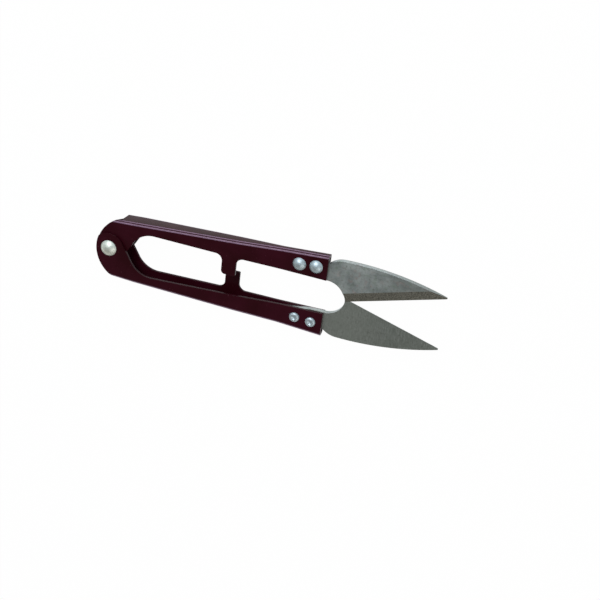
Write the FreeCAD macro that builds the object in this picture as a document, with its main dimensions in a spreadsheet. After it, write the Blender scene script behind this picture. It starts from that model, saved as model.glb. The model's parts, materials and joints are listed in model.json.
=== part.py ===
# Thread snips: two folded sheet-steel handles on one pivot rivet at the tail, a torsion
# spring round the rivet, and a riveted blade at the front of each handle.
#
# The snips lie flat, +Z up. They are laid out about the pivot axis, with X from the tail
# to the tips and Y across, and then placed with the origin under the middle of their box.
# The upper half is the one on the +Y side. The lower half is made of the same pieces,
# turned half a turn about the X axis. All lengths are in millimetres.
import FreeCAD
import Part
import Sketcher
import math
import os
import re

V = FreeCAD.Vector

SIZES = [
    # Handle sheet, and the outline of the handle at its tail.
    ("sheet_thick", 0.7),
    ("fold_radius", 0.9),
    ("tail_bulge", 1.15),
    ("tail_reach", 3.8),
    ("boss_radius", 3.0),
    ("throat_top", 9.2),
    ("throat_foot", -0.25),
    ("sweep_radius", 7.0),
    ("web_start", 3.2),
    # The arm: distances from the snips' centre line at the pivot and at the front end.
    ("arm_length", 63.8),
    ("spine_at_pivot", 8.65),
    ("spine_at_front", 12.75),
    ("mouth_at_pivot", 6.8),
    ("mouth_at_front", 5.55),
    # The stop lug on the near flange.
    ("lug_start", 33.8),
    ("lug_width", 4.2),
    ("lug_end", 0.4),
    ("lug_root", 2.0),
    ("lug_nose", 1.1),
    ("lug_toe", 0.3),
    # Depth of the channel along Z.
    ("stack_depth", 6.7),
    ("ear_length", 8.0),
    ("level_station", 38.0),
    ("level_depth", 4.35),
    ("level_rise", 0.45),
    ("ear_gap", 0.05),
    # Blade, from the arm's front end.
    ("blade_thick", 1.4),
    ("blade_gap", 0.06),
    ("blade_reach", 33.8),
    ("tip_spread", 7.9),
    ("tip_radius", 0.3),
    ("back_radius", 85.0),
    ("shoulder_reach", 4.4),
    ("shoulder_fall", 0.65),
    ("shoulder_drop", 1.7),
    ("shoulder_radius", 6.3),
    ("heel_reveal", 0.2),
    ("heel_lead", 3.8),
    ("heel_overlap", 0.4),
    ("bevel_width", 3.0),
    ("edge_land", 0.12),
    ("tang_length", 12.7),
    ("grip_lead", 0.5),
    ("tang_gap", 0.2),
    ("tang_inset", 0.9),
    # Blade rivets.
    ("rivet_setback", 3.25),
    ("rivet_pitch", 4.75),
    ("rivet_inset", 3.6),
    ("rivet_shank", 1.0),
    ("rivet_head", 1.9),
    ("rivet_dome", 1.1),
    ("rivet_tail", 1.5),
    ("rivet_tail_rise", 0.6),
    ("rivet_dimple", 0.75),
    ("rivet_dimple_floor", 0.2),
    ("rivet_fit", 0.03),
    # Pivot rivet.
    ("pivot_shank", 1.5),
    ("pivot_head", 2.38),
    ("pivot_dome", 1.3),
    ("pivot_tail", 2.1),
    ("pivot_tail_rise", 0.8),
    ("pivot_dimple", 1.0),
    ("pivot_dimple_floor", 0.27),
    ("pivot_fit", 0.05),
    # Torsion spring.
    ("wire_diameter", 0.7),
    ("coil_fit", 0.45),
    ("coil_end_gap", 0.12),
    ("coil_gap", 0.4),
    ("leg_bend_station", 8.8),
    ("leg_bend_radius", 1.5),
    ("leg_foot", 3.0),
    ("leg_gap", 0.1),
]
NAMES = dict(SIZES)
POINTS_PER_ARC = 14
ARCS_PER_TURN = 4

doc = FreeCAD.newDocument("thread_snips")
sheet = doc.addObject("Spreadsheet::Sheet", "Sizes")
for row, (name, size) in enumerate(SIZES, start=1):
    sheet.set("A%d" % row, name)
    sheet.set("B%d" % row, str(size))
    sheet.setAlias("B%d" % row, name)
doc.recompute()


def bound(text):
    """The expression text, with each named size read from the sheet."""
    return re.sub(r"[a-z_]+", lambda m: "Sizes." + m.group() if m.group() in NAMES else m.group(), text)


def value(text):
    """The number that an expression of named sizes gives."""
    number = sheet.evalExpression(bound(text))
    return float(getattr(number, "Value", number))


# Places that several pieces share, as expressions of the named sizes.

def spine(station):
    """Distance of the spine's outside from the centre line at a station along X."""
    return "(spine_at_pivot + (spine_at_front - spine_at_pivot) * (%s) / arm_length)" % station


def mouth(station):
    """Distance of the flanges' free edge from the centre line at a station along X."""
    return "(mouth_at_pivot + (mouth_at_front - mouth_at_pivot) * (%s) / arm_length)" % station


TAIL_RADIUS = "(spine_at_pivot + tail_bulge)"
TAIL_CENTRE = "(%s - tail_reach)" % TAIL_RADIUS
GRIP_STATION = "(arm_length - tang_length - grip_lead)"
FRONT_RIVET = "(arm_length - rivet_setback)"
REAR_RIVET = "(arm_length - rivet_setback - rivet_pitch)"
BLADE_BACK_Z = "(blade_gap / 2)"
BLADE_FRONT_Z = "(blade_gap / 2 + blade_thick)"
NEAR_EAR_Z = "(stack_depth / 2 - sheet_thick - ear_gap)"
FAR_EAR_Z = "(-stack_depth / 2)"
TIP_STATION = "(arm_length + blade_reach)"
HEEL_STATION = "(arm_length + tang_gap)"
HEEL_RADIUS = "(mouth_at_front - heel_reveal)"


# Sketch helpers.

def new_sketch(body, name, role, offset=None):
    """A sketch on one of the body's own origin planes."""
    sketch = body.newObject("Sketcher::SketchObject", name)
    plane = [item for item in body.Origin.OriginFeatures if item.Role == role][0]
    sketch.AttachmentSupport = [(plane, "")]
    sketch.MapMode = "FlatFace"
    if offset is not None:
        sketch.AttachmentOffset = offset
    return sketch


def pin_point(sketch, edge, end, place):
    """Holds one end of an edge at a place given by two expressions."""
    for kind, text in zip(("DistanceX", "DistanceY"), place):
        index = sketch.addConstraint(Sketcher.Constraint(kind, -1, 1, edge, end, value(text)))
        sketch.setExpression("Constraints[%d]" % index, bound(text))


def arc_edge(start, end, radius, turn):
    """The lesser arc between two points. turn is 1 for anticlockwise and -1 for clockwise."""
    chord = end - start
    half = chord.Length / 2
    side = V(-chord.y, chord.x, 0).normalize() * turn
    centre = start + chord * 0.5 + side * math.sqrt(radius * radius - half * half)
    low, high = (start, end) if turn > 0 else (end, start)
    low_angle = math.atan2(low.y - centre.y, low.x - centre.x)
    high_angle = math.atan2(high.y - centre.y, high.x - centre.x)
    if high_angle < low_angle:
        high_angle += 2 * math.pi
    return Part.ArcOfCircle(Part.Circle(centre, V(0, 0, 1), radius), low_angle, high_angle)


def draw_loop(sketch, corners):
    """A closed outline. A corner is (x, y), or (x, y, radius, turn) where an arc leads on from it."""
    points = [V(value(corner[0]), value(corner[1]), 0) for corner in corners]
    count = len(corners)
    starts = []
    ends = []
    for index, corner in enumerate(corners):
        here = points[index]
        there = points[(index + 1) % count]
        if len(corner) == 2:
            edge = sketch.addGeometry(Part.LineSegment(here, there), False)
            starts.append((edge, 1))
            ends.append((edge, 2))
            continue
        radius, turn = corner[2:]
        edge = sketch.addGeometry(arc_edge(here, there, value(radius), turn), False)
        forward = (1, 2) if turn > 0 else (2, 1)
        starts.append((edge, forward[0]))
        ends.append((edge, forward[1]))
        limit = sketch.addConstraint(Sketcher.Constraint("Radius", edge, value(radius)))
        sketch.setExpression("Constraints[%d]" % limit, bound(radius))
    for index in range(count):
        follow = starts[(index + 1) % count]
        sketch.addConstraint(Sketcher.Constraint("Coincident", *ends[index], *follow))
    for index, corner in enumerate(corners):
        pin_point(sketch, *starts[index], corner[:2])


def draw_circle(sketch, place, radius):
    """A circle at a place given by two expressions."""
    centre = V(value(place[0]), value(place[1]), 0)
    edge = sketch.addGeometry(Part.Circle(centre, V(0, 0, 1), value(radius)), False)
    pin_point(sketch, edge, 3, place)
    limit = sketch.addConstraint(Sketcher.Constraint("Radius", edge, value(radius)))
    sketch.setExpression("Constraints[%d]" % limit, bound(radius))


# Feature helpers.

def new_body(label):
    body = doc.addObject("PartDesign::Body", label)
    body.Label = label
    return body


def pad(body, sketch, length, side="Symmetric"):
    feature = body.newObject("PartDesign::Pad", sketch.Name + "_pad")
    feature.Profile = sketch
    feature.SideType = side
    feature.setExpression("Length", bound(length))
    doc.recompute()


def pocket(body, sketch, side="Symmetric", reverse=False):
    """A cut through the whole piece, which must take some of it away."""
    before = body.Shape.Volume
    feature = body.newObject("PartDesign::Pocket", sketch.Name + "_cut")
    feature.Profile = sketch
    feature.Type = "ThroughAll"
    feature.SideType = side
    feature.Reversed = reverse
    doc.recompute()
    if not body.Shape.Volume < before - 1e-6:
        raise RuntimeError(sketch.Name + " cuts nothing")


def round_edges(body, name, edges, radius):
    base = body.Tip
    feature = body.newObject("PartDesign::Fillet", name)
    feature.Base = (base, edges)
    feature.setExpression("Radius", bound(radius))
    doc.recompute()


def upright_edge(body, x, y):
    """The name of the edge along Z that is nearest to a place in plan."""
    target = V(x, y, 0)
    best = None
    for index, edge in enumerate(body.Tip.Shape.Edges, start=1):
        start = edge.Vertexes[0].Point
        end = edge.Vertexes[-1].Point
        if abs(start.z - end.z) < 1e-3 or V(start.x - end.x, start.y - end.y, 0).Length > 1e-4:
            continue
        gap = (V(start.x, start.y, 0) - target).Length
        if best is None or gap < best[0]:
            best = (gap, "Edge%d" % index)
    return [best[1]]


def fold_edges(body):
    """The names of the long edges where the spine's outside meets the two flanges."""
    names = []
    for index, edge in enumerate(body.Tip.Shape.Edges, start=1):
        ends = [edge.Vertexes[0].Point, edge.Vertexes[-1].Point]
        on_spine = all(abs(point.y - value(spine("(%.9f)" % point.x))) < 1e-4 for point in ends)
        if on_spine and abs(ends[0].x - ends[1].x) > 1e-3:
            names.append("Edge%d" % index)
    return names


# The handle: one blank folded to a channel. Its flanges run flat over each other at the
# tail, the far one closes in along the arm, and both run flat where they grip the blade.

def depth_profile(offset, rear, front):
    """The channel's side view, with its two flange faces moved in by an offset."""
    upper_ear = "%s - %s" % (NEAR_EAR_Z, offset)
    upper_level = "level_rise + level_depth / 2 - %s" % offset
    upper_grip = "%s + sheet_thick - %s" % (BLADE_FRONT_Z, offset)
    lower_ear = "%s + %s" % (FAR_EAR_Z, offset)
    lower_level = "level_rise - level_depth / 2 + %s" % offset
    lower_grip = "%s - sheet_thick + %s" % (BLADE_BACK_Z, offset)
    upper = [(rear, upper_ear), ("ear_length", upper_ear), ("level_station", upper_level)]
    upper += [(GRIP_STATION, upper_grip), (front, upper_grip)]
    lower = [(front, lower_grip), (GRIP_STATION, lower_grip), ("level_station", lower_level)]
    lower += [("ear_length", lower_ear), (rear, lower_ear)]
    return upper, lower


def make_handle(label):
    body = new_body(label)
    past_tail = "(-tail_reach - 1)"
    past_front = "(arm_length + 1)"
    clear = "(stack_depth / 2 + 1)"

    # The blank in plan, with the spine straight and the throat's edge on a slant.
    blank = new_sketch(body, label + "_blank", "XY_Plane")
    draw_loop(blank, [
        (past_tail, spine(past_tail)),
        (past_tail, "-" + TAIL_RADIUS),
        ("throat_foot", "-" + TAIL_RADIUS),
        ("throat_top", mouth("throat_top")),
        ("arm_length", "mouth_at_front"),
        ("arm_length", "spine_at_front"),
    ])
    pad(body, blank, "stack_depth")
    corner = upright_edge(body, value("throat_top"), value(mouth("throat_top")))
    round_edges(body, label + "_sweep", corner, "sweep_radius")

    lug = new_sketch(body, label + "_lug", "XY_Plane")
    front_side = "(lug_start + lug_width)"
    rear_root = "(lug_start - lug_root)"
    front_root = "(lug_start + lug_width + lug_root)"
    draw_loop(lug, [
        (rear_root, "(%s + sheet_thick)" % mouth(rear_root)),
        (rear_root, mouth(rear_root), "lug_root", -1),
        ("lug_start", "(%s - lug_root)" % mouth(rear_root)),
        ("lug_start", "(lug_end + lug_nose)", "lug_nose", 1),
        ("(lug_start + lug_nose)", "lug_end"),
        ("(%s - lug_toe)" % front_side, "lug_end", "lug_toe", 1),
        (front_side, "(lug_end + lug_toe)"),
        (front_side, "(%s - lug_root)" % mouth(front_root), "lug_root", -1),
        (front_root, mouth(front_root)),
        (front_root, "(%s + sheet_thick)" % mouth(front_root)),
    ])
    pad(body, lug, "stack_depth / 2", "One side")

    # The outside of the flanges, then the two folds.
    sides = new_sketch(body, label + "_sides", "XZ_Plane")
    upper, lower = depth_profile("0", past_tail, past_front)
    draw_loop(sides, upper + [(past_front, clear), (past_tail, clear)])
    draw_loop(sides, lower + [(past_tail, "-" + clear), (past_front, "-" + clear)])
    pocket(body, sides)
    round_edges(body, label + "_folds", fold_edges(body), "fold_radius")

    # The tail is trimmed to a round end, whose lobe runs over to the other side.
    above = "(%s + 2)" % TAIL_RADIUS
    tail = new_sketch(body, label + "_tail", "XY_Plane")
    draw_loop(tail, [
        (TAIL_CENTRE, TAIL_RADIUS, TAIL_RADIUS, 1),
        ("-tail_reach", "0", TAIL_RADIUS, 1),
        (TAIL_CENTRE, "-" + TAIL_RADIUS),
        (TAIL_CENTRE, "-" + above),
        ("(%s - 1)" % past_tail, "-" + above),
        ("(%s - 1)" % past_tail, above),
        (TAIL_CENTRE, above),
    ])
    pocket(body, tail)
    lobe = upright_edge(body, value("throat_foot"), -value(TAIL_RADIUS))
    round_edges(body, label + "_boss", lobe, "boss_radius")

    # The inside, cut square to the spine so that the web keeps the sheet's thickness.
    slope = math.degrees(math.atan2(value("spine_at_front - spine_at_pivot"), value("arm_length")))
    lean = FreeCAD.Rotation(V(0, 1, 0), slope)
    floor = V(0, 0, -value("spine_at_pivot") + value("sheet_thick") / math.cos(math.radians(slope)))
    hollow = new_sketch(body, label + "_channel", "XZ_Plane", FreeCAD.Placement(floor, lean))
    upper, lower = depth_profile("sheet_thick", past_tail, past_front)
    draw_loop(hollow, upper + lower)
    pocket(body, hollow, "One side", True)

    # The web stops short of the tail, where only the two flanges run on.
    opening = new_sketch(body, label + "_tail_opening", "XZ_Plane")
    inner = [upper[0][1], lower[-1][1]]
    draw_loop(opening, [
        (past_tail, inner[1]),
        ("web_start", inner[1]),
        ("web_start", inner[0]),
        (past_tail, inner[0]),
    ])
    pocket(body, opening)

    holes = new_sketch(body, label + "_holes", "XY_Plane")
    draw_circle(holes, ("0", "0"), "(pivot_shank + pivot_fit)")
    for station in (REAR_RIVET, FRONT_RIVET):
        draw_circle(holes, (station, rivet_height(station)), "(rivet_shank + rivet_fit)")
    pocket(body, holes)
    return body


def rivet_height(station):
    """A blade rivet's distance from the centre line: a fixed distance inside the spine."""
    return "(%s - rivet_inset)" % spine(station)


# The blade: a flat tang between the flanges, a hollow heel that opens the round window,
# and a ground bevel along the straight cutting edge.

def make_blade(label):
    body = new_body(label)
    tang_rear = "(arm_length - tang_length)"
    tang_top = "(%s - sheet_thick - tang_gap)" % spine(tang_rear)
    shoulder_y = "(spine_at_front - shoulder_fall)"
    heel_corner = "(%s + sqrt(%s ^ 2 - heel_overlap ^ 2))" % (HEEL_STATION, HEEL_RADIUS)
    plan = new_sketch(body, label + "_plan", "XY_Plane")
    draw_loop(plan, [
        (tang_rear, "(%s + tang_inset)" % mouth(tang_rear)),
        ("(%s - heel_lead)" % HEEL_STATION, HEEL_RADIUS),
        (HEEL_STATION, HEEL_RADIUS, HEEL_RADIUS, -1),
        (heel_corner, "-heel_overlap"),
        (TIP_STATION, "tip_spread", "back_radius", 1),
        ("(arm_length + shoulder_reach)", shoulder_y, "shoulder_radius", 1),
        (HEEL_STATION, "(%s - shoulder_drop)" % shoulder_y),
        (tang_rear, tang_top),
    ])
    pad(body, plan, "blade_thick", "One side")
    point = upright_edge(body, value(TIP_STATION), value("tip_spread"))
    round_edges(body, label + "_point", point, "tip_radius")

    run = value(TIP_STATION) - value(heel_corner)
    rise = value("tip_spread + heel_overlap")
    lean = FreeCAD.Rotation(V(0, 1, 0), math.degrees(math.atan2(rise, run)))
    # The bevel's sketch stands across the cutting edge: its x runs into the blade, its y is Z.
    place = FreeCAD.Placement(V(-value("heel_overlap"), 0, value(heel_corner)), lean)
    grind = new_sketch(body, label + "_bevel", "YZ_Plane", place)
    fall = "((blade_thick - edge_land) / bevel_width)"
    draw_loop(grind, [
        ("-1", "(edge_land - %s)" % fall),
        ("bevel_width", "blade_thick"),
        ("bevel_width", "(blade_thick + 1)"),
        ("-1", "(blade_thick + 1)"),
    ])
    pocket(body, grind)

    holes = new_sketch(body, label + "_holes", "XY_Plane")
    for station in (REAR_RIVET, FRONT_RIVET):
        draw_circle(holes, (station, rivet_height(station)), "(rivet_shank + rivet_fit)")
    pocket(body, holes)
    return body


# Rivets: a domed head, a shank, and a tail spread over the sheet with a dimple in it.

def make_rivet(label, kind, grip):
    """A rivet on the Z axis, its tail's face at Z = 0 and its head above the grip."""
    shank, head, dome, tail, rise, dimple, floor = [kind + part for part in (
        "_shank", "_head", "_dome", "_tail", "_tail_rise", "_dimple", "_dimple_floor")]
    body = new_body(label)
    profile = new_sketch(body, label + "_profile", "XZ_Plane")
    dome_radius = "((%s ^ 2 + %s ^ 2) / (2 * %s))" % (head, dome, dome)
    draw_loop(profile, [
        ("0", "(%s + %s)" % (grip, dome), dome_radius, -1),
        (head, grip),
        (shank, grip),
        (shank, "0"),
        (tail, "0", "(%s - %s)" % (tail, dimple), -1),
        (dimple, "-" + rise),
        ("0", "-" + floor),
    ])
    turned = body.newObject("PartDesign::Revolution", label + "_turned")
    turned.Profile = profile
    turned.ReferenceAxis = (profile, ["V_Axis"])
    turned.Angle = 360
    doc.recompute()
    return body


# The torsion spring: one wire wound round the pivot rivet, with a leg to each spine. Each
# leg lies near its own handle's far flange, so that the coil climbs to the lower handle.

def fillet_path(corner, toward, away, radius):
    """Where an arc between two straight runs starts, its middle, and where it ends."""
    first = (toward - corner).normalize()
    second = (away - corner).normalize()
    half = first.getAngle(second) / 2
    reach = radius / math.tan(half)
    bisector = (first + second).normalize()
    middle = corner + bisector * (radius / math.sin(half) - radius)
    return corner + first * reach, middle, corner + second * reach


def half_arc(start, heading, end):
    """The arc that leaves a point along a heading and ends at another point."""
    chord = end - start
    along = V(chord).normalize()
    across = heading - along * heading.dot(along)
    if across.Length < 1e-9:
        return Part.LineSegment(start, end)
    bend = heading.getAngle(chord)
    middle = start + chord * 0.5 + across.normalize() * (chord.Length / 2 * math.tan(bend / 2))
    return Part.Arc(start, middle, end)


def biarc(start, heading, end, leaving):
    """Two arcs that join two points, with a heading at each."""
    gap = end - start
    total = heading + leaving
    spread = 2 * (1 - heading.dot(leaving))
    reach = (math.sqrt(gap.dot(total) ** 2 + spread * gap.dot(gap)) - gap.dot(total)) / spread
    joint = (start + heading * reach + end - leaving * reach) * 0.5
    first = half_arc(start, heading, joint)
    back = half_arc(end, leaving * -1, joint)
    return [first.toShape().Edges[0], back.toShape().Edges[0]]


def spring_path():
    """The wire's centre line, from the upper leg's foot to the lower leg's foot."""
    wire = value("wire_diameter")
    coil = value("pivot_shank + coil_fit + wire_diameter / 2")
    climb = -value("stack_depth / 2 - 2 * sheet_thick - ear_gap - wire_diameter / 2 - coil_end_gap")
    slope = math.atan2(value("spine_at_front - spine_at_pivot"), value("arm_length"))
    web = V(math.cos(slope), math.sin(slope), 0)
    inside = value("sheet_thick + leg_gap") + wire / 2
    station = value("leg_bend_station")
    bend = V(station, value(spine("leg_bend_station")) - inside / math.cos(slope), climb)
    lean = math.atan2(bend.y, bend.x) - math.asin(coil / math.hypot(bend.x, bend.y))
    start_angle = lean + math.pi / 2
    part_turn = 1 - start_angle / math.pi
    pitch = wire + value("coil_gap")
    whole_turns = math.floor(2 * abs(climb) / pitch - part_turn)
    sweep = 2 * math.pi * (whole_turns + part_turn)
    steps = round(sweep / math.pi)

    def coil_point(share):
        angle = start_angle + sweep * share
        return V(coil * math.cos(angle), coil * math.sin(angle), climb * (1 - 2 * share))

    def coil_heading(share):
        angle = start_angle + sweep * share
        fall = 0.0 if share in (0.0, 1.0) else -2 * climb / (sweep * coil)
        return V(-math.sin(angle), math.cos(angle), fall).normalize()

    foot = bend + web * value("leg_foot")
    bend_in, bend_middle, bend_out = fillet_path(bend, foot, coil_point(0.0), value("leg_bend_radius"))
    upper = [
        Part.LineSegment(foot, bend_in).toShape(),
        Part.Arc(bend_in, bend_middle, bend_out).toShape(),
        Part.LineSegment(bend_out, coil_point(0.0)).toShape(),
    ]
    turns = []
    for step in range(steps):
        here = step / steps
        there = (step + 1) / steps
        turns += biarc(coil_point(here), coil_heading(here), coil_point(there), coil_heading(there))
    flip = FreeCAD.Placement(V(), FreeCAD.Rotation(V(1, 0, 0), 180)).toMatrix()
    lower = [edge.transformGeometry(flip).Edges[0] for edge in reversed(upper)]
    return foot, (bend - foot).normalize(), upper, turns, lower


def least_gap(arcs, wire):
    """The least gap between the wire's surface on stretches half a turn or more apart."""
    points = []
    for arc in arcs:
        points += arc.discretize(POINTS_PER_ARC + 1)[:-1]
    apart = POINTS_PER_ARC * ARCS_PER_TURN // 2
    gaps = []
    for index, point in enumerate(points):
        for other in points[index + apart:]:
            gaps.append((point - other).Length - wire)
    return min(gaps)


def make_spring(label):
    start, heading, upper, turns, lower = spring_path()
    wire = value("wire_diameter")
    path = Part.Wire(upper + turns + lower)
    ring = Part.Wire(Part.Circle(start, heading, wire / 2).toShape())
    sweep = Part.BRepOffsetAPI.MakePipeShell(path)
    sweep.add(ring)
    sweep.build()
    sweep.makeSolid()
    feature = doc.addObject("Part::Feature", label)
    feature.Label = label
    feature.Shape = sweep.shape()
    length = path.Length
    ideal = length * math.pi * wire * wire / 4
    print("spring: wire %.1f mm long, volume %.4f of its section times its length"
          % (length, feature.Shape.Volume / ideal))
    print("spring: least gap to itself %.3f mm" % least_gap(turns, wire))
    return feature


# The whole: each half's pieces, the lower ones turned over, and what joins the halves.

def place(piece, origin, turned_over, offset=V()):
    """Puts a piece at an offset in the upper half, and turns it over for the lower half."""
    half = FreeCAD.Rotation(V(1, 0, 0), 180 if turned_over else 0)
    piece.Placement = (
        FreeCAD.Placement(origin * -1, FreeCAD.Rotation())
        * FreeCAD.Placement(V(), half)
        * FreeCAD.Placement(offset, FreeCAD.Rotation())
    )


grip = "(blade_thick + 2 * sheet_thick)"
pivot_grip = "(stack_depth + ear_gap)"
blade_base = V(0, 0, value(BLADE_BACK_Z))
rivet_base = value(BLADE_BACK_Z + " - sheet_thick")

handles = []
blades = []
blade_rivets = []
for half in ("upper", "lower"):
    handles.append(make_handle(half + "_handle"))
    blades.append(make_blade(half + "_blade"))
    for name, station in (("rear", REAR_RIVET), ("front", FRONT_RIVET)):
        rivet = make_rivet("%s_%s_rivet" % (half, name), "rivet", grip)
        seat = V(value(station), value(rivet_height(station)), rivet_base)
        blade_rivets.append((rivet, half == "lower", seat))
pivot = make_rivet("pivot_rivet", "pivot", pivot_grip)
spring = make_spring("torsion_spring")

# The origin is under the middle of the box that the snips fill.
tip = blades[0].Shape.optimalBoundingBox(False).XMax
lowest = value("-(stack_depth / 2 + ear_gap + pivot_tail_rise)")
origin = V((tip - value("tail_reach")) / 2, 0, lowest)

for turned_over in (False, True):
    place(handles[turned_over], origin, turned_over)
    place(blades[turned_over], origin, turned_over, blade_base)
for rivet, turned_over, seat in blade_rivets:
    place(rivet, origin, turned_over, seat)
place(pivot, origin, False, V(0, 0, value("-(stack_depth / 2 + ear_gap)")))
place(spring, origin, False)
doc.recompute()

pieces = handles + blades + [rivet for rivet, turned_over, seat in blade_rivets] + [pivot, spring]
for item in doc.Objects:
    if "Invalid" in item.State or "Error" in item.State:
        raise RuntimeError("%s failed: %s" % (item.Label, item.State))
for piece in pieces:
    if piece.Shape.isNull() or not piece.Shape.isValid() or len(piece.Shape.Solids) != 1:
        raise RuntimeError("%s is not one valid solid" % piece.Label)

os.makedirs("parts", exist_ok=True)
for piece in pieces:
    piece.Shape.exportStep("parts/%s.step" % piece.Label)
print("pivot axis at x %.3f mm; box of %d pieces from the pivot: tail %.2f, tips %.2f"
      % (-origin.x, len(pieces), -value("tail_reach"), tip))
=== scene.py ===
import json
import math

import bmesh
import bpy
from mathutils import Matrix, Vector


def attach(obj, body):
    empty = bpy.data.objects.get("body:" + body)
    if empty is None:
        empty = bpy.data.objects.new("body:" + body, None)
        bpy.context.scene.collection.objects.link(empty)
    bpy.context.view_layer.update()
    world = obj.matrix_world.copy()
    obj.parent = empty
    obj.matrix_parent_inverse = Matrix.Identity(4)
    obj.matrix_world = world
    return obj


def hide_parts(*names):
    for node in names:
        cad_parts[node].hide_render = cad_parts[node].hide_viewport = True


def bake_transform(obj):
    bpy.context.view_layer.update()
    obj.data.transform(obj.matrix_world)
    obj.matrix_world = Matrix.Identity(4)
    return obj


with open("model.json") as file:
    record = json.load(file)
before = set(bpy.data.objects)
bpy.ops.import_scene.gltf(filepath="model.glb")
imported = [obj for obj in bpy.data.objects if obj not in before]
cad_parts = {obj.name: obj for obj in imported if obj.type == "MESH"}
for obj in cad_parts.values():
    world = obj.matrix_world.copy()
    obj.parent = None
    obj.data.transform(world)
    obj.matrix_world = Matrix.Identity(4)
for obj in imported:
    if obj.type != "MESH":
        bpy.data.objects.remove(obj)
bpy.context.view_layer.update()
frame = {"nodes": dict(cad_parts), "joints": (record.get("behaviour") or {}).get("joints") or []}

MM = 0.001
PIVOT = Vector(frame["joints"][0]["pos_m"])


# Node trees.

EDGE_SAMPLES = 6


class Tree:
    """A node tree that is built a node at a time."""

    def __init__(self, owner):
        owner.use_nodes = True
        self.tree = owner.node_tree
        self.tree.nodes.clear()

    def add(self, kind, inputs=None, **settings):
        node = self.tree.nodes.new("ShaderNode" + kind)
        for name, setting in settings.items():
            setattr(node, name, setting)
        for name, given in (inputs or {}).items():
            socket = node.inputs[name]
            if isinstance(given, bpy.types.NodeSocket):
                self.tree.links.new(given, socket)
            else:
                socket.default_value = given
        return node

    def place(self, scale):
        """Object coordinates in metres, stretched along the axes."""
        where = self.add("TexCoord").outputs["Object"]
        return self.add("Mapping", {"Vector": where, "Scale": scale}).outputs[0]

    def noise(self, size, scale=(1, 1, 1), detail=3.0, roughness=0.5):
        """Noise from 0 to 1 whose features are about the given size across."""
        return self.add("TexNoise", {
            "Vector": self.place(scale), "Scale": 1 / size, "Detail": detail,
            "Roughness": roughness}).outputs["Fac"]

    def ramp(self, fac, low, high, start=0.0, end=1.0):
        """Maps one range of a number to another, and stays inside it."""
        return self.add("MapRange", {
            "Value": fac, "From Min": low, "From Max": high, "To Min": start,
            "To Max": end}).outputs["Result"]

    def mix(self, fac, first, second):
        """Mixes two colours."""
        node = self.add("Mix", data_type="RGBA")
        for index, given in ((0, fac), (6, first), (7, second)):
            socket = node.inputs[index]
            if isinstance(given, bpy.types.NodeSocket):
                self.tree.links.new(given, socket)
            else:
                socket.default_value = given
        return node.outputs[2]

    def math(self, operation, first, second=0.0):
        """One sum on one or two numbers."""
        return self.add("Math", {0: first, 1: second}, operation=operation).outputs[0]

    def bump(self, height, depth, below=None):
        """A bump whose height runs over the given depth in metres."""
        inputs = {"Height": height, "Strength": 1.0, "Distance": depth}
        if below is not None:
            inputs["Normal"] = below
        return self.add("Bump", inputs).outputs["Normal"]

    def soft_edge(self, radius):
        """The normal of a surface whose sharp edges are rounded a little."""
        bevel = self.add("Bevel", {"Radius": radius})
        bevel.samples = EDGE_SAMPLES
        return bevel.outputs["Normal"]

    def part(self, which, axis):
        """One coordinate of the object's own position or normal."""
        whole = self.add("TexCoord").outputs[which]
        return self.add("SeparateXYZ", {0: whole}).outputs[axis]

    def finish(self, shader, kind="Material"):
        self.add("Output" + kind, {"Surface": shader.outputs[0]})


def srgb(red, green, blue):
    """A colour given as a screen shows it, from 0 to 255, as the shader needs it."""
    shares = [channel / 255 for channel in (red, green, blue)]
    linear = [share / 12.92 if share <= 0.04045 else ((share + 0.055) / 1.055) ** 2.4 for share in shares]
    return (*linear, 1.0)


# Materials.

def maroon_paint():
    """Thick glossy enamel: a slight orange peel, dust, and softly rounded edges."""
    material = bpy.data.materials.new("maroon_paint")
    tree = Tree(material)
    patches = tree.ramp(tree.noise(9 * MM), 0.35, 0.65)
    body = tree.mix(patches, srgb(40, 6, 13), srgb(50, 10, 22))
    specks = tree.ramp(tree.noise(0.45 * MM, detail=1.0), 0.75, 0.80, 0.0, 0.4)
    dusty = tree.mix(specks, body, srgb(120, 70, 84))
    # Light runs along the folds in the photo. Here it is paint, in two thin lines on each bend.
    upright = tree.math("ABSOLUTE", tree.part("Normal", "Z"))
    outer = tree.math("MULTIPLY", tree.ramp(upright, 0.99, 0.95), tree.ramp(upright, 0.70, 0.80))
    inner = tree.math("MULTIPLY", tree.ramp(upright, 0.52, 0.40), tree.ramp(upright, 0.03, 0.10))
    uneven = tree.ramp(tree.noise(1.3 * MM, detail=2.0), 0.30, 0.70, 0.58, 0.78)
    lines = tree.math("MULTIPLY", tree.math("MAXIMUM", outer, inner), uneven)
    colour = tree.mix(lines, dusty, srgb(150, 122, 146))
    peel = tree.noise(0.8 * MM, detail=1.0)
    shine = tree.ramp(tree.noise(3 * MM, detail=4.0), 0.3, 0.7, 0.20, 0.32)
    shader = tree.add("BsdfPrincipled", {
        "Base Color": colour, "Roughness": shine, "IOR": 1.19,
        "Normal": tree.bump(peel, 0.012 * MM, tree.soft_edge(0.16 * MM))})
    tree.finish(shader)
    return material


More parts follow.
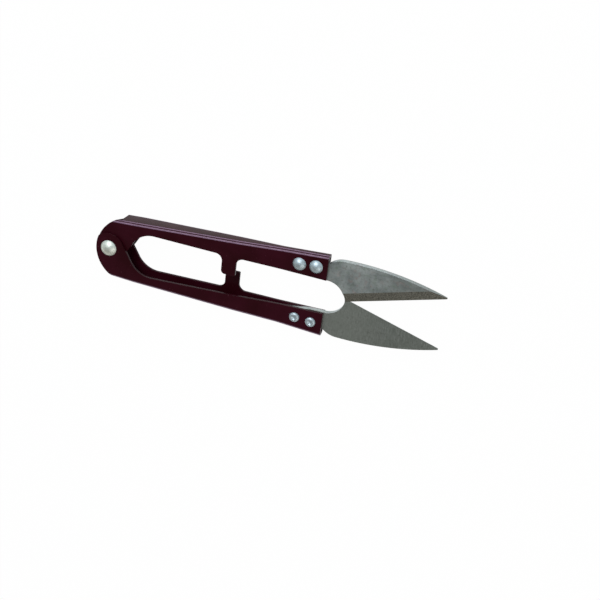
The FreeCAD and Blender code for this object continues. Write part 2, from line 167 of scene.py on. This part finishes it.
def blade_steel():
    """Steel: a mottled outer face, a darker ground bevel, and a darker, streaked back."""
    material = bpy.data.materials.new("blade_steel")
    tree = Tree(material)
    across = tree.noise(0.16 * MM, scale=(1, 0.07, 1), detail=4.0)
    cloud = tree.noise(3.2 * MM, detail=5.0, roughness=0.62)
    mottle = tree.noise(0.7 * MM, detail=3.0, roughness=0.6)
    tint = tree.noise(1.5 * MM, detail=2.0)
    cool = tree.mix(tree.ramp(cloud, 0.34, 0.66), srgb(160, 170, 172), srgb(186, 194, 194))
    pinked = tree.mix(tree.ramp(tint, 0.56, 0.72, 0.0, 0.45), cool, srgb(186, 164, 162))
    greened = tree.mix(tree.ramp(tint, 0.44, 0.28, 0.0, 0.45), pinked, srgb(144, 164, 146))
    mottled = tree.mix(tree.ramp(mottle, 0.52, 0.72, 0.0, 0.55), greened, srgb(128, 132, 126))
    along = tree.part("Object", "X")
    # The blades fall into shade toward their tips in the photo. Here that is their colour.
    face = tree.mix(tree.ramp(along, 30 * MM, 46 * MM, 0.0, 0.65), mottled, srgb(120, 128, 124))
    streaks = tree.mix(tree.ramp(across, 0.30, 0.68), srgb(172, 179, 176), srgb(130, 136, 131))
    clouded = tree.mix(tree.ramp(cloud, 0.42, 0.62, 0.0, 0.6), streaks, srgb(122, 128, 122))
    spotted = tree.mix(tree.ramp(mottle, 0.50, 0.66, 0.0, 0.5), clouded, srgb(112, 118, 112))
    # The backs are also painted lighter toward the pivot and darker toward the tips. This is painted
    # light and shade.
    back = tree.mix(tree.ramp(along, 26 * MM, 38 * MM, 0.30, 0.0), spotted, srgb(176, 182, 176))
    ground = tree.mix(tree.ramp(across, 0.35, 0.62), srgb(142, 142, 134), srgb(88, 88, 83))
    upright = tree.math("ABSOLUTE", tree.part("Normal", "Z"))
    # The two blades slide on each other at the pivot's height, so that is where their backs are.
    height = tree.math("ABSOLUTE", tree.math("SUBTRACT", tree.part("Object", "Z"), PIVOT.z))
    inner = tree.ramp(height, 0.25 * MM, 0.15 * MM)
    tilted = tree.math("MULTIPLY", tree.ramp(upright, 0.985, 0.965), tree.ramp(upright, 0.5, 0.6))
    flat = tree.mix(inner, face, back)
    colour = tree.mix(tilted, flat, ground)
    rough = tree.ramp(cloud, 0.3, 0.7, 0.40, 0.54)
    marks = tree.bump(across, 0.005 * MM, tree.bump(mottle, 0.010 * MM, tree.soft_edge(0.10 * MM)))
    shader = tree.add("BsdfPrincipled", {
        "Base Color": colour, "Metallic": 1.0, "Roughness": rough, "Normal": marks})
    tree.finish(shader)
    return material


def rivet_metal():
    """Dull bright aluminium, with the fine dents and rubs of a headed rivet."""
    material = bpy.data.materials.new("rivet_metal")
    tree = Tree(material)
    dents = tree.noise(0.8 * MM, detail=2.0)
    rubs = tree.noise(0.14 * MM, detail=3.0)
    bright = tree.mix(tree.ramp(rubs, 0.4, 0.7), srgb(232, 238, 230), srgb(212, 218, 210))
    shaded_tone = tree.mix(tree.ramp(rubs, 0.4, 0.7), srgb(194, 210, 218), srgb(172, 186, 194))
    # The pivot rivet is painted brighter than the blades' rivets. This is painted light on one metal.
    painted_light_tone = tree.mix(tree.ramp(tree.part("Object", "X"), -40 * MM, -30 * MM), bright, shaded_tone)
    colour = tree.mix(tree.ramp(dents, 0.55, 0.75, 0.0, 0.5), painted_light_tone, srgb(156, 162, 160))
    marks = tree.bump(rubs, 0.004 * MM, tree.bump(dents, 0.025 * MM))
    shader = tree.add("BsdfPrincipled", {
        "Base Color": colour, "Metallic": 1.0,
        "Roughness": tree.ramp(dents, 0.3, 0.7, 0.42, 0.56), "Normal": marks})
    tree.finish(shader)
    return material


def spring_wire():
    """Dark drawn spring wire, with a film of oil."""
    material = bpy.data.materials.new("spring_wire")
    tree = Tree(material)
    drawn = tree.noise(0.1 * MM, detail=3.0)
    colour = tree.mix(drawn, srgb(62, 62, 64), srgb(98, 96, 94))
    shader = tree.add("BsdfPrincipled", {
        "Base Color": colour, "Metallic": 1.0, "Roughness": tree.ramp(drawn, 0.3, 0.7, 0.28, 0.42),
        "Normal": tree.bump(drawn, 0.004 * MM)})
    tree.finish(shader)
    return material


def dress(node, material):
    """Gives a CAD node's own object a material."""
    mesh = frame["nodes"][node].data
    mesh.materials.clear()
    mesh.materials.append(material)


# The pieces that stand for CAD nodes. Each handle has its tail's lobe drawn in to a circle round
# the pivot rivet. The upper one also has its far ear trimmed to the outline in the photo.

TAIL_REACH = 7 * MM
LOBE_RADIUS = 4.6 * MM
LOBE_START = -2.0 * MM
LOBE_CUTS = [level * MM for level in (-2.2, -2.7, -3.2, -3.6, -4.0, -4.3)]
# The far ear's outline in millimetres from the pivot axis: along X, and across.
FAR_EAR_LINE = [(-3.2, 4.4), (-2.0, 5.3), (-0.8, 6.05), (1.0, 6.85), (2.6, 8.0), (3.25, 9.0)]
FAR_EAR_TOP = -2.0 * MM
MERGE_DISTANCE = 0.0005 * MM
CUT_DISTANCE = 0.001 * MM
SHARP_DEGREES = 28


def far_ear_limit(along):
    """The height of the far ear's trimmed outline at a distance along X from the pivot."""
    for (start, low), (end, high) in zip(FAR_EAR_LINE, FAR_EAR_LINE[1:]):
        if start * MM <= along <= end * MM:
            share = (along / MM - start) / (end - start)
            return (low + (high - low) * share) * MM
    return None


def cut_tail_across(work, level):
    """Cuts the faces at a handle's tail in two along a line at one place across the snips."""
    near = [face for face in work.faces if min(v.co.x for v in face.verts) < PIVOT.x + TAIL_REACH]
    edges = {edge for face in near for edge in face.edges}
    verts = {vert for face in near for vert in face.verts}
    bmesh.ops.bisect_plane(
        work, geom=near + list(edges) + list(verts), dist=CUT_DISTANCE,
        plane_co=(0, PIVOT.y + level, 0), plane_no=(0, 1, 0))


def shape_handle(half):
    """A copy of a CAD handle, trimmed at the tail, that stands for it."""
    side = 1 if half == "upper" else -1
    mesh = frame["nodes"][half + "_handle"].data.copy()
    if "custom_normal" in mesh.attributes:
        mesh.attributes.remove(mesh.attributes["custom_normal"])
    work = bmesh.new()
    work.from_mesh(mesh)
    bmesh.ops.remove_doubles(work, verts=work.verts[:], dist=MERGE_DISTANCE)
    for level in LOBE_CUTS:
        cut_tail_across(work, side * level)
    for vert in work.verts:
        place = vert.co - PIVOT
        across = place.y * side
        reach = math.hypot(place.x, place.y)
        if across < LOBE_START and reach > LOBE_RADIUS:
            vert.co.x = PIVOT.x + place.x * LOBE_RADIUS / reach
            vert.co.y = PIVOT.y + place.y * LOBE_RADIUS / reach
        limit = far_ear_limit(place.x) if half == "upper" and place.z < FAR_EAR_TOP else None
        if limit is not None and across > limit:
            vert.co.y = PIVOT.y + limit
    bmesh.ops.remove_doubles(work, verts=work.verts[:], dist=MERGE_DISTANCE)
    bmesh.ops.dissolve_degenerate(work, edges=work.edges[:], dist=MERGE_DISTANCE)
    work.to_mesh(mesh)
    work.free()
    mesh.shade_smooth()
    mesh.set_sharp_from_angle(angle=math.radians(SHARP_DEGREES))
    piece = bpy.data.objects.new(half + "_handle_trimmed", mesh)
    bpy.context.collection.objects.link(piece)
    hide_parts(half + "_handle")
    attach(piece, half + "_half")


def wind_spring():
    """A copy of the spring that stands for it."""
    mesh = frame["nodes"]["torsion_spring"].data.copy()
    piece = bpy.data.objects.new("torsion_spring_wound", mesh)
    bpy.context.collection.objects.link(piece)
    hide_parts("torsion_spring")
    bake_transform(piece)


paint = maroon_paint()
steel = blade_steel()
rivet = rivet_metal()
wire = spring_wire()
for half in ("upper", "lower"):
    dress(half + "_handle", paint)
    dress(half + "_blade", steel)
    dress(half + "_rear_rivet", rivet)
    dress(half + "_front_rivet", rivet)
dress("pivot_rivet", rivet)
dress("torsion_spring", wire)
for half in ("upper", "lower"):
    shape_handle(half)
wind_spring()


# The floor, the light and the camera.

FLOOR_SIZE = 6.0
FLOOR_DROP = 0.02 * MM
FLOOR_WHITE = 0.985


def seen_white(tree, shaded, share):
    """White to the camera and in reflections, mixed with what the light makes of a surface."""
    path = tree.add("LightPath").outputs
    seen = tree.math("MAXIMUM", path["Is Camera Ray"], path["Is Glossy Ray"])
    seen = tree.math("MAXIMUM", seen, path["Is Transmission Ray"])
    white = tree.add("Emission", {"Color": (1, 1, 1, 1), "Strength": 1.0})
    fac = tree.math("MULTIPLY", seen, share)
    return tree.add("MixShader", {0: fac, 1: shaded.outputs[0], 2: white.outputs[0]})


def make_floor():
    """A pale floor just under the snips, which takes their shadow and looks white."""
    bpy.ops.mesh.primitive_plane_add(size=FLOOR_SIZE, location=(0, 0, -FLOOR_DROP))
    floor = bpy.context.object
    floor.name = "floor"
    material = bpy.data.materials.new("pale_floor")
    tree = Tree(material)
    faint = tree.mix(tree.noise(20 * MM), (0.86, 0.86, 0.86, 1), (0.90, 0.90, 0.90, 1))
    shaded = tree.add("BsdfDiffuse", {"Color": faint})
    tree.finish(seen_white(tree, shaded, FLOOR_WHITE))
    floor.data.materials.append(material)


def make_world():
    """A soft room, dim overhead, with a cool window side and a warm far side."""
    world = bpy.data.worlds.new("room")
    bpy.context.scene.world = world
    tree = Tree(world)
    side = tree.part("Generated", "Y")
    up = tree.part("Generated", "Z")
    room = tree.mix(tree.ramp(side, -0.6, 0.7), (0.60, 0.575, 0.53, 1), (0.84, 0.94, 1.0, 1))
    glow = tree.add("Background", {"Color": room, "Strength": tree.ramp(up, 0.1, 0.9, 1.0, 0.34)})
    path = tree.add("LightPath").outputs
    white = tree.add("Background", {"Color": (1, 1, 1, 1), "Strength": 1.0})
    mixed = tree.add("MixShader", {
        0: path["Is Camera Ray"], 1: glow.outputs[0], 2: white.outputs[0]})
    tree.finish(mixed, "World")


def make_lamp(name, place, size, power, colour):
    """A square soft box that faces the middle of the snips."""
    light = bpy.data.lights.new(name, "AREA")
    light.size = size
    light.energy = power
    light.color = colour
    lamp = bpy.data.objects.new(name, light)
    bpy.context.collection.objects.link(lamp)
    lamp.location = place
    lamp.rotation_euler = (-Vector(place)).to_track_quat("-Z", "Y").to_euler()


# The photograph's camera: its place from the pivot axis, and the directions of its frame.
CAMERA_PLACE = Vector((127.705, 152.538, 286.107)) * MM
CAMERA_RIGHT = Vector((0.94863, 0.11151, -0.29608))
CAMERA_UP = Vector((-0.23405, 0.87702, -0.4196))
FOCAL_LENGTH_PX = 1200
FRAME_PX = 600
SENSOR_WIDTH = 36.0


def make_camera():
    """The camera that the photo was fitted with."""
    camera = bpy.data.cameras.new("camera")
    camera.sensor_width = SENSOR_WIDTH
    camera.lens = camera.sensor_width * FOCAL_LENGTH_PX / FRAME_PX
    camera.clip_start = 0.01
    camera.clip_end = 20.0
    holder = bpy.data.objects.new("camera", camera)
    bpy.context.collection.objects.link(holder)
    turn = Matrix((CAMERA_RIGHT, CAMERA_UP, CAMERA_RIGHT.cross(CAMERA_UP))).transposed()
    holder.matrix_world = Matrix.Translation(PIVOT + CAMERA_PLACE) @ turn.to_4x4()
    bpy.context.scene.camera = holder


make_floor()
make_world()
make_lamp("key", (-0.12, 0.42, 0.50), size=0.34, power=2.3, colour=(0.97, 0.99, 1.0))
make_lamp("fill", (0.45, -0.25, 0.45), size=0.50, power=0.9, colour=(1.0, 0.97, 0.93))
make_camera()
bpy.context.scene.view_settings.view_transform = "Standard"
